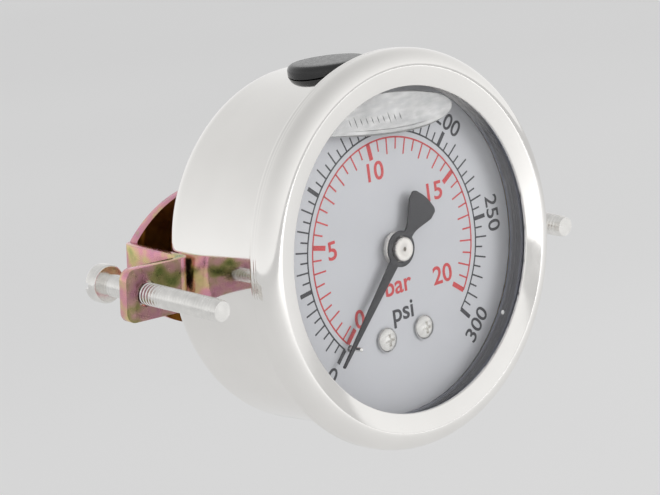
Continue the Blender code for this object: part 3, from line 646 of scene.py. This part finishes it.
def letters_mesh(text, weight):
    """Thin solid letters of the built-in typeface, at its own size."""
    curve = bpy.data.curves.new("lettering", "FONT")
    curve.body = text
    curve.align_x = "CENTER"
    curve.offset = weight
    curve.resolution_u = 6
    curve.extrude = LETTER_DEPTH
    obj = bpy.data.objects.new("lettering", curve)
    bpy.context.scene.collection.objects.link(obj)
    depsgraph = bpy.context.evaluated_depsgraph_get()
    mesh = bpy.data.meshes.new_from_object(obj.evaluated_get(depsgraph))
    bpy.data.objects.remove(obj, do_unlink=True)
    return mesh


DIGIT_HEIGHT = max(v.co.y for v in letters_mesh("0", 0.0).vertices)


def add_letters(bm, text, height, middle, turn=0.0, weight=THIN_STROKE):
    """Prints text round a middle point (x, z), turned anticlockwise as the dial is read."""
    mesh = letters_mesh(text, weight)
    scale = height / DIGIT_HEIGHT
    grow = Matrix.Diagonal((scale * LETTER_STRETCH, scale, PRINT_T / (2 * LETTER_DEPTH), 1))
    centred = Matrix.Translation((0, -height / 2, PRINT_T / 2)) @ grow
    spin = Matrix.Rotation(math.radians(turn), 4, "Z")
    shift = Matrix.Translation((middle[0], DIAL_Y, middle[1]))
    mesh.transform(shift @ FRONT_VIEW.to_4x4() @ spin @ centred)
    bm.from_mesh(mesh)


def add_dial_print():
    black = bmesh.new()
    red = bmesh.new()
    add_arc_line(black, BLACK_ARC_R, FULL_ANGLE, ZERO_ANGLE)
    add_arc_line(red, RED_ARC_R, psi_angle(20 * PSI_PER_BAR), ZERO_ANGLE)
    for psi in [0] + list(range(15, 301, 5)):
        bold = psi % 50 == 0
        length = BLACK_TICKS[0] if psi % 10 == 0 else BLACK_TICKS[1]
        width = BLACK_BOLD_W if bold else LINE_W
        add_line(black, psi_angle(psi), BLACK_ARC_R, BLACK_ARC_R + length, width)
    for half_bars in [0] + list(range(2, 41)):
        bold = half_bars % 10 == 0
        length = RED_TICKS[0] if bold else RED_TICKS[1 + half_bars % 2]
        angle = psi_angle(half_bars / 2 * PSI_PER_BAR)
        add_line(red, angle, RED_ARC_R - length, RED_ARC_R, RED_BOLD_W if bold else LINE_W)
    for psi in range(0, 301, 50):
        angle = psi_angle(psi)
        turn = angle + 90 if psi in (0, 300) else angle - 90
        x, z = polar(NUMERAL_R, angle)
        add_letters(black, str(psi), BLACK_NUMERAL_H, (x + NUMERAL_SHIFT[0], z + NUMERAL_SHIFT[1]), turn)
    for bar, place in RED_NUMERALS.items():
        add_letters(red, str(bar), RED_NUMERAL_H, place, weight=BOLD_STROKE)
    add_letters(red, "bar", UNIT_H, (-0.2, -6.2), weight=BOLD_STROKE)
    add_letters(black, "psi", UNIT_H, (0.3, -10.9), weight=BOLD_STROKE)
    add_piece("dial_print_black", black, BLACK_INK, "root", smooth=20)
    add_piece("dial_print_red", red, RED_INK, "root", smooth=20)


# ---- pointer ---------------------------------------------------------------------------------
def pointer_outline():
    """Tapered blade, ring and flared paddle tail, drawn along +X and turned to its rest."""
    join = math.degrees(math.asin(1.0 / HUB_RING_R))
    neck = 180 - math.degrees(math.asin(0.95 / HUB_RING_R))
    half = arc((TIP_REACH, 0), 0.24, 0, 90, 4)
    half += arc((0, 0), HUB_RING_R, join, neck, 20)
    half += bezier((-3.6, 1.0), (-5.2, 1.35), (-6.2, 2.3), (-8.0, 3.15), 10)
    half += arc((-8.85, 2.15), 1.2, 118, 178, 6)
    half += arc((0, 0), TAIL_REACH, 171.5, 180, 3)[1:]
    outline = half + [(x, -z) for x, z in reversed(half[1:-1])]
    turn = Matrix.Rotation(math.radians(POINTER_ANGLE), 2)
    return [tuple(turn @ Vector(p)) for p in outline]


def add_pointer():
    blade = add_prism(bmesh.new(), pointer_outline(), POINTER_LOW, POINTER_HIGH)
    bore = [(0, -4), (2.2, -4), (2.2, 2), (0, 2)]
    add_piece("pointer_blade", blade, LACQUER, "pointer", ["pointer"], 30, 0.07,
              [("DIFFERENCE", add_turned(bmesh.new(), bore, 96, phase=OFF_SEAM))])
    front = box_mm("pointer_hub")[0].y
    rear = box_mm("pointer_hub")[1].y
    profile = [(0, front + 0.85), (0.24, front + 0.8), (0.36, front + 0.06), (0.44, front), (1.75, front)]
    profile += arc((1.75, front + 0.35), 0.35, -90, 0, 6)[1:]
    profile += [(2.1, POINTER_HIGH + 0.15), (1.85, POINTER_HIGH + 0.3), (1.85, rear - 0.1), (1.75, rear),
                (0.9, rear), (0.9, front + 1.1), (0, front + 1.1)]
    add_piece("hub_boss", add_turned(bmesh.new(), profile, MEDIUM), HUB_METAL, "pointer",
              ["pointer_hub"], 40)
    # the wider sleeve that shows between the pointer and the dial
    flange = [(1.9, -0.55), (2.72, -0.55), (2.95, -0.3), (2.95, 0.42), (2.75, 0.62), (1.9, 0.62)]
    add_piece("hub_flange", add_turned(bmesh.new(), flange, MEDIUM), HUB_METAL, "pointer",
              smooth=40)


def cross_recess(x, z, reach, width, low, high):
    """The two blades of a cross-head driver."""
    solids = []
    for a, b in ((reach, width), (width, reach)):
        outline = [(x - a, z - b), (x + a, z - b), (x + a, z + b), (x - a, z + b)]
        solids.append(("DIFFERENCE", add_prism(bmesh.new(), outline, low, high)))
    return solids


def add_pan_screw(name, replaced, x, z, head_r, head_low, head_high, tip, facing):
    """A pan-head screw along Y; facing is -1 where its head looks to the front."""
    under, top = (head_high, head_low) if facing < 0 else (head_low, head_high)
    rise = top - under
    dome = [(0, top), (0.45 * head_r, top - 0.05 * rise), (0.75 * head_r, top - 0.22 * rise),
            (0.93 * head_r, top - 0.5 * rise), (head_r, top - 0.85 * rise), (head_r, under)]
    shank = 0.45 * head_r
    profile = dome + [(shank, under), (shank, tip), (0, tip)]
    deep = top - 0.75 * rise
    recess = cross_recess(x, z, 0.5 * head_r, 0.13 * head_r, min(deep, top + rise), max(deep, top + rise))
    screw = add_turned(bmesh.new(), profile, 48, (x, 0, z))
    add_piece(name, screw, PLATED, "root", [replaced], 35, tools=recess)


def add_screws():
    for side in ("left", "right"):
        node = f"dial_screw_{side}"
        low, high = box_mm(node)
        middle = (low + high) / 2
        add_pan_screw(f"dial_pan_screw_{side}", node, middle.x, middle.z, 2.15, low.y, low.y + 0.75, high.y,
                      -1)
    for i, (x, z) in enumerate(socket_screw_places(), 1):
        node = f"socket_screw_{i}"
        low, high = box_mm(node)
        add_pan_screw(f"socket_pan_screw_{i}", node, x, z, 2.3, high.y - 1.5, high.y, low.y,
                      1)


# ---- connection and clamp ----------------------------------------------------------------------
def hexagon(across_flats):
    return arc((0, 0), across_flats / math.sqrt(3), 0, 300, 5)


def hex_corner_trim(across_flats, low, high):
    """A round solid with chamfered ends that takes a hexagon's sharp corners off."""
    outer = across_flats / math.sqrt(3) + 0.02
    inner = across_flats / 2 - 0.1
    drop = (outer - inner) * math.tan(math.radians(30))
    profile = [(0, low), (inner, low), (outer, low + drop), (outer, high - drop), (inner, high), (0, high)]
    return add_turned(bmesh.new(), profile, 96, phase=0.21)


def add_socket():
    """Brass socket: foot and flange inside, hexagon and threaded stem outside."""
    root_r = STEM_R - 0.85
    profile = [(0, 21.2), (15.0, 21.2), (15.0, 23.7), (8.0, 23.7), (8.0, HEX_Y[0] + 0.5),
               (STEM_R - 0.7, HEX_Y[0] + 0.5), (STEM_R - 0.7, HEX_Y[1] + 0.4), (root_r, HEX_Y[1] + 1.2),
               (root_r, SOCKET_END - 0.8), (root_r - 0.6, SOCKET_END), (0, SOCKET_END)]
    body = add_turned(bmesh.new(), profile, 96)
    wrench = add_prism(bmesh.new(), hexagon(HEX_AF), *HEX_Y)
    foot_box = [(-9, -21.5), (9, -21.5), (9, -7), (-9, -7)]
    foot = add_prism(bmesh.new(), foot_box, 11.9, 22.4)
    bore = add_turned(bmesh.new(), [(0, 29.5), (PORT_R, 30.5), (PORT_R, 60), (0, 60)], 48, phase=OFF_SEAM)
    add_piece("socket_body", body, SOCKET_BRASS, "root", ["socket"], 30, 0.12,
              [("UNION", wrench), ("UNION", foot), ("DIFFERENCE", bore)])
    thread = add_thread(bmesh.new(), root_r, STEM_R, STEM_PITCH, HEX_Y[1] + 0.9, SOCKET_END - 0.2, steps=48)
    add_piece("stem_thread", thread, SOCKET_BRASS, "root", smooth=25)


def add_clamp_nut():
    low, high = NUT_LOW.y, NUT_HIGH.y
    nut = add_prism(bmesh.new(), hexagon(NUT_AF), low, high)
    bore = [(0, low - 1), (STEM_R + 1.3, low - 1), (STEM_R + 0.1, low + 0.8), (STEM_R + 0.1, high - 0.8),
            (STEM_R + 1.3, high + 1), (0, high + 1)]
    add_piece("nut_body", nut, PLATED, "nut", ["clamp_nut"], 30, 0.1,
              [("INTERSECT", hex_corner_trim(NUT_AF, low, high)),
               ("DIFFERENCE", add_turned(bmesh.new(), bore, 96, phase=OFF_SEAM))])


def add_washer():
    low, high = box_mm("clamp_washer")
    profile = [(7.0, low.y), (high.x - 0.15, low.y), (high.x, low.y + 0.15), (high.x, high.y - 0.25),
               (high.x - 0.25, high.y), (7.15, high.y), (7.0, high.y - 0.15)]
    add_piece("washer_ring", add_turned(bmesh.new(), profile, 96), PLATED, "washer",
              ["clamp_washer"])


def bracket_place():
    """From the bracket's own drawing to the gauge: drooped, turned and set on the stem."""
    droop, swivel = (math.radians(a) for a in BRACKET_TURN)
    turn = Matrix.Rotation(swivel, 4, "Y") @ Matrix.Rotation(droop, 4, "X")
    return Matrix.Translation(BRACKET_AT) @ turn


def bent_strip(points, radius, thickness):
    """The edge view of a bent sheet: a path with filleted corners, given a thickness."""
    sides = {1: [], -1: []}
    half = thickness / 2
    path = [Vector(p) for p in points]
    for i, here in enumerate(path):
        behind = (here - path[i - 1]).normalized() if i else (path[1] - here).normalized()
        ahead = (path[i + 1] - here).normalized() if i + 1 < len(path) else behind
        turn = behind.x * ahead.y - behind.y * ahead.x
        left_in = Vector((-behind.y, behind.x))
        left_out = Vector((-ahead.y, ahead.x))
        if abs(turn) < 1e-6:
            for side in sides:
                sides[side].append(here + side * half * left_in)
            continue
        bend = 1 if turn > 0 else -1
        centre = here + bend * radius * (left_in + left_out)
        for k in range(BEND_STEPS + 1):
            blend = left_in.lerp(left_out, k / BEND_STEPS).normalized()
            for side in sides:
                sides[side].append(centre - bend * (radius - side * bend * half) * blend)
    return [tuple(p) for p in sides[1] + sides[-1][::-1]]


def bracket_outline():
    """Front view of the bracket: a bowed middle, straight arms and rounded ears."""
    centre_z = MIDDLE_H - BOW_R
    reach = math.degrees(math.acos((ARM_H - centre_z) / BOW_R))
    corner = 1.9
    upper = arc((BOW_X, centre_z), BOW_R, 90, 90 - reach, 24)
    upper += arc((EAR_X - corner, ARM_H - corner), corner, 90, 0, 8)
    half = upper + [(x, -z) for x, z in reversed(upper)]
    return half + [(-x, -z) for x, z in half]


def add_bracket():
    """One bent strip; its inner faces are painted dark brown as shade, and its ears' fronts have a greener
    film.
    """
    half_path = [(ARM_X, 0), (ARM_X, EAR_Y), (EAR_X + 1, EAR_Y)]
    path = [(-x, y) for x, y in reversed(half_path)] + half_path
    strip = add_prism(bmesh.new(), bent_strip(path, BEND_R, BRACKET_T), -MIDDLE_H - 2, MIDDLE_H + 2, "Z")
    tools = [("INTERSECT", add_prism(bmesh.new(), bracket_outline(), -20, 5))]
    stem_hole = [(0, -5), (STEM_HOLE_R, -5), (STEM_HOLE_R, 5), (0, 5)]
    tools.append(("DIFFERENCE", add_turned(bmesh.new(), stem_hole, 96, phase=OFF_SEAM)))
    for side in (-1, 1):
        hole = [(0, -20), (EAR_HOLE_R, -20), (EAR_HOLE_R, -10), (0, -10)]
        cutter = add_turned(bmesh.new(), hole, 48, (side * SCREW_X, 0, 0), phase=OFF_SEAM)
        tools.append(("DIFFERENCE", cutter))
    bracket = add_piece("bracket_strip", strip, ZINC, "bracket", ["clamp_bracket"], 30, 0.22,
                        tools)
    bracket.data.materials.append(PAINTED_SHADE_ZINC)
    bracket.data.materials.append(OLIVE_ZINC)
    inside = (BRACKET_T / 2 + 0.02) * MM
    # painted shade: the inner front faces between the arms take the dark brown shade finish; the ears' fronts
    # take the olive film
    for face in bracket.data.polygons:
        centre = face.center
        if face.normal.y < -0.5 and abs(centre.x) < (ARM_X - 0.5) * MM and centre.y > -inside:
            face.material_index = 1
        elif face.normal.y < -0.5 and abs(centre.x) > (ARM_X + BEND_R) * MM:
            face.material_index = 2
    bracket.data.transform(in_metres(bracket_place()))


def in_metres(matrix):
    """The same placement for a mesh that is already in metres."""
    moved = matrix.copy()
    moved.translation = matrix.translation * MM
    return moved


def add_clamp_screw(side, body, node):
    """Long M4 screw: flat chamfered tip, threaded shank, plain cheese head with a slot."""
    x = side * SCREW_X
    core = SCREW_R - 0.13
    head = SCREW_HEAD
    top = head + SCREW_HEAD_T
    profile = [(0, SCREW_TIP), (core - 0.1, SCREW_TIP), (core, SCREW_TIP + 0.3), (core, head)]
    profile += arc((SCREW_HEAD_R - 0.35, head + 0.35), 0.35, -90, 0, 5)
    profile += arc((SCREW_HEAD_R - 0.6, top - 0.6), 0.6, 0, 90, 7) + [(0, top)]
    slot = [(x - 4.5, -0.5), (x + 4.5, -0.5), (x + 4.5, 0.5), (x - 4.5, 0.5)]
    screw = add_turned(bmesh.new(), profile, MEDIUM, (x, 0, 0))
    piece = add_piece(f"{node}_body", screw, PLATED, body, [node], 35,
                      tools=[("DIFFERENCE", add_prism(bmesh.new(), slot, top - 1.1, top + 1))])
    thread = add_thread(bmesh.new(), core, SCREW_R, SCREW_PITCH, SCREW_TIP + 0.05, head - 0.3, (x, 0, 0), 28)
    ridge = add_piece(f"{node}_thread", thread, PLATED, body, smooth=25)
    for made in (piece, ridge):
        made.data.transform(in_metres(bracket_place()))


# ---- air bubble ----------------------------------------------------------------------------------
DOME_STEPS = 6            # rings from the bubble's edge up to its crown
WIRE_SIDES = 8


def add_bubble():
    """The air left over the filling: a flat lens under the window, with its waterline below."""
    front = WINDOW_HIGH.y + 0.12
    depth = 1.1
    upper = bezier((-14.7, 22.4), (-11.5, 29.1), (1.5, 27.3), (10.0, 25.0), 24)
    upper += bezier((10.0, 25.0), (14.5, 23.8), (16.4, 21.9), (13.2, 20.5), 12)[1:]
    lower = bezier((13.2, 20.5), (7.0, 18.4), (-5.5, 20.6), (-14.7, 22.4), 28)
    outline = upper + lower[1:-1]
    middle = Vector((-0.4, 23.6))
    bm = bmesh.new()
    rings = []
    for k in range(DOME_STEPS):
        lean = math.radians(90 * k / DOME_STEPS)
        ring = []
        for u, v in outline:
            p = middle + (Vector((u, v)) - middle) * math.cos(lean)
            ring.append(bm.verts.new((p.x, front + depth * math.sin(lean), p.y)))
        rings.append(ring)
    count = len(outline)
    for low, high in zip(rings, rings[1:]):
        for i in range(count):
            j = (i + 1) % count
            bm.faces.new((low[i], low[j], high[j], high[i]))
    bm.faces.new(rings[0])
    bm.faces.new(rings[-1])
    add_piece("air_bubble", bm, BUBBLE, "root", smooth=60)
    # painted shade: dark grey wires along the bubble's lower and upper edges and just inside the lower one,
    # where a bubble's edge looks dark
    rim = bmesh.new()
    for points, radius in ((lower, 0.15), (upper, 0.06)):
        add_wire(rim, [(u, front, v) for u, v in points], radius)
    inner = [(u, front, v + 0.75) for u, v in lower[4:-4]]
    add_wire(rim, inner, 0.06)
    # ten short strokes stand in for the scale marks that a real bubble bends and shows inside it
    for i in range(10):
        u = -9.4 + 1.3 * i
        v = 23.5 - 0.12 * i
        length = 2.0 if i in (1, 7) else 1.2
        ends = [Vector((u - 0.3 * k * length / 2, front - 0.02, v + k * length / 2)) for k in (-1, 0, 1)]
        add_wire(rim, ends, 0.08)
    add_piece("bubble_edge_shade", rim, BUBBLE_EDGE_SHADE, "root", smooth=60)
    drop = bmesh.new()
    bmesh.ops.create_uvsphere(drop, u_segments=24, v_segments=12, radius=0.42)
    bmesh.ops.scale(drop, vec=(1, 0.35, 1), verts=drop.verts)
    bmesh.ops.translate(drop, vec=(21.2, front + 0.15, -16.3), verts=drop.verts)
    add_piece("small_bubble", drop, BUBBLE, "root", smooth=60)


def add_wire(bm, points, radius):
    """A round wire along points, tapered at both ends."""
    path = [Vector(p) for p in points]
    rings = []
    for i, here in enumerate(path):
        ahead = (path[min(i + 1, len(path) - 1)] - path[max(i - 1, 0)]).normalized()
        side = ahead.cross(Vector((0, 1, 0))).normalized()
        up = side.cross(ahead)
        taper = max(0.15, min(1.0, 4 * min(i, len(path) - 1 - i) / len(path)))
        ring = []
        for k in range(WIRE_SIDES):
            u, v = polar(radius * taper, 360 * k / WIRE_SIDES)
            ring.append(bm.verts.new(here + u * side + v * up))
        rings.append(ring)
    for low, high in zip(rings, rings[1:]):
        for k in range(WIRE_SIDES):
            j = (k + 1) % WIRE_SIDES
            bm.faces.new((low[k], low[j], high[j], high[k]))
    bm.faces.new(rings[0])
    bm.faces.new(rings[-1])



# ---- build ---------------------------------------------------------------------------------------
add_case()
add_bezel()
add_window()
add_fill_plug()
add_dial_print()
add_pointer()
add_screws()
add_socket()
add_clamp_nut()
add_washer()
add_bracket()
add_clamp_screw(-1, "screw_left", "clamp_screw_left")
add_clamp_screw(1, "screw_right", "clamp_screw_right")
add_bubble()

# CAD nodes that keep their own mesh and only take a finish
KEPT = {
    ENAMEL: ["dial_plate"],
    PLATED: ["stop_pin"],
    DARK_STEEL: ["pinion_arbor", "sector_arbor", "movement_screw_1", "movement_screw_2"],
    BRASS: ["dial_post_left", "dial_post_right", "movement_front_plate", "movement_back_plate",
            "pillar_1", "pillar_2", "pillar_3", "hairspring_stud", "sector_gear", "link", "tip_block"],
    BRONZE: ["bourdon_tube", "hairspring"],
    SOCKET_BRASS: ["restrictor"],
    GASKET: ["socket_seal"],
}
for finish, names in KEPT.items():
    for node in names:
        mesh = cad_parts[node].data
        mesh.materials.clear()
        mesh.materials.append(finish)


# ---- stage ---------------------------------------------------------------------------------------
FLOOR_Z = -0.115          # metres, like all of the stage
FLOOR_SIZE = 12.0
TARGET = Vector((0, -3.0, 0)) * MM
VIEW_AZIMUTH = math.radians(-134.12)
VIEW_ELEVATION = math.radians(11.69)
VIEW_DISTANCE = 0.5055
VIEW_ROLL = math.radians(-7.15)
VIEW_PAN = math.radians(1.53)
VIEW_TILT = math.radians(0.04)
LENS = 163.9
DOME_WHITE = 0.95
DOME_GREY = 0.6
KEY_DIRECTION = (0.5, -0.85, 0.16)
KEY_DISTANCE = 0.8
KEY_SIZE = 0.45
KEY_POWER = 2.4           # watts


def add_floor():
    bm = bmesh.new()
    bmesh.ops.create_grid(bm, x_segments=4, y_segments=4, size=FLOOR_SIZE / 2)
    mesh = bpy.data.meshes.new("floor")
    bm.to_mesh(mesh)
    bm.free()
    floor = bpy.data.objects.new("floor", mesh)
    bpy.context.scene.collection.objects.link(floor)
    floor.location.z = FLOOR_Z
    f = Finish("floor_white", (0.88, 0.88, 0.88), 0.8, Specular_IOR_Level=0.0)
    f.colours(f.noise(300, detail=1), [(0.3, (0.87, 0.87, 0.87)), (0.7, (0.89, 0.89, 0.89))])
    mesh.materials.append(f.mat)


def add_key_light():
    """One large soft disk ahead and to the right; polished metal mirrors the dome, not the lamp."""
    data = bpy.data.lights.new("key", "AREA")
    data.shape = "DISK"
    data.size = KEY_SIZE
    data.energy = KEY_POWER
    light = bpy.data.objects.new("key", data)
    bpy.context.scene.collection.objects.link(light)
    away = Vector(KEY_DIRECTION).normalized()
    light.location = away * KEY_DISTANCE
    light.rotation_euler = away.to_track_quat("Z", "Y").to_euler()
    light.visible_glossy = False


def add_world():
    """A plain studio dome: white at the horizon, fading evenly to a light grey overhead and below."""
    world = bpy.data.worlds.new("studio")
    bpy.context.scene.world = world
    world.use_nodes = True
    tree = world.node_tree
    background = tree.nodes["Background"]
    coordinates = tree.nodes.new("ShaderNodeTexCoord")
    parts = tree.nodes.new("ShaderNodeSeparateXYZ")
    height = tree.nodes.new("ShaderNodeMapRange")
    height.inputs["From Min"].default_value = -1
    ramp = tree.nodes.new("ShaderNodeValToRGB")
    elements = ramp.color_ramp.elements
    elements.new(0.5)
    for element, position, grey in zip(elements, (0.0, 0.5, 1.0), (DOME_GREY, DOME_WHITE, DOME_GREY)):
        element.position = position
        element.color = (grey, grey, grey, 1)
    tree.links.new(coordinates.outputs["Generated"], parts.inputs[0])
    tree.links.new(parts.outputs["Z"], height.inputs["Value"])
    tree.links.new(height.outputs["Result"], ramp.inputs["Fac"])
    tree.links.new(ramp.outputs["Color"], background.inputs["Color"])
    background.inputs["Strength"].default_value = 1.0


def add_camera():
    """Ahead of the dial, to its left and a little above it, rolled a few degrees."""
    flat = math.cos(VIEW_ELEVATION)
    back = Vector((flat * math.cos(VIEW_AZIMUTH), flat * math.sin(VIEW_AZIMUTH), math.sin(VIEW_ELEVATION)))
    right = Vector((0, 0, 1)).cross(back).normalized()
    up = back.cross(right)
    turned = Matrix((right, up, back)).transposed()
    turned = turned @ Matrix.Rotation(VIEW_ROLL, 3, "Z") @ Matrix.Rotation(VIEW_PAN, 3, "Y")
    turned = turned @ Matrix.Rotation(VIEW_TILT, 3, "X")
    data = bpy.data.cameras.new("camera")
    data.lens = LENS
    data.sensor_width = 36
    data.clip_start = 0.01
    camera = bpy.data.objects.new("camera", data)
    bpy.context.scene.collection.objects.link(camera)
    camera.matrix_world = Matrix.Translation(TARGET + back * VIEW_DISTANCE) @ turned.to_4x4()
    bpy.context.scene.camera = camera


def build_stage():
    add_world()
    add_floor()
    add_camera()
    add_key_light()
    bpy.context.scene.view_settings.view_transform = "Standard"


build_stage()
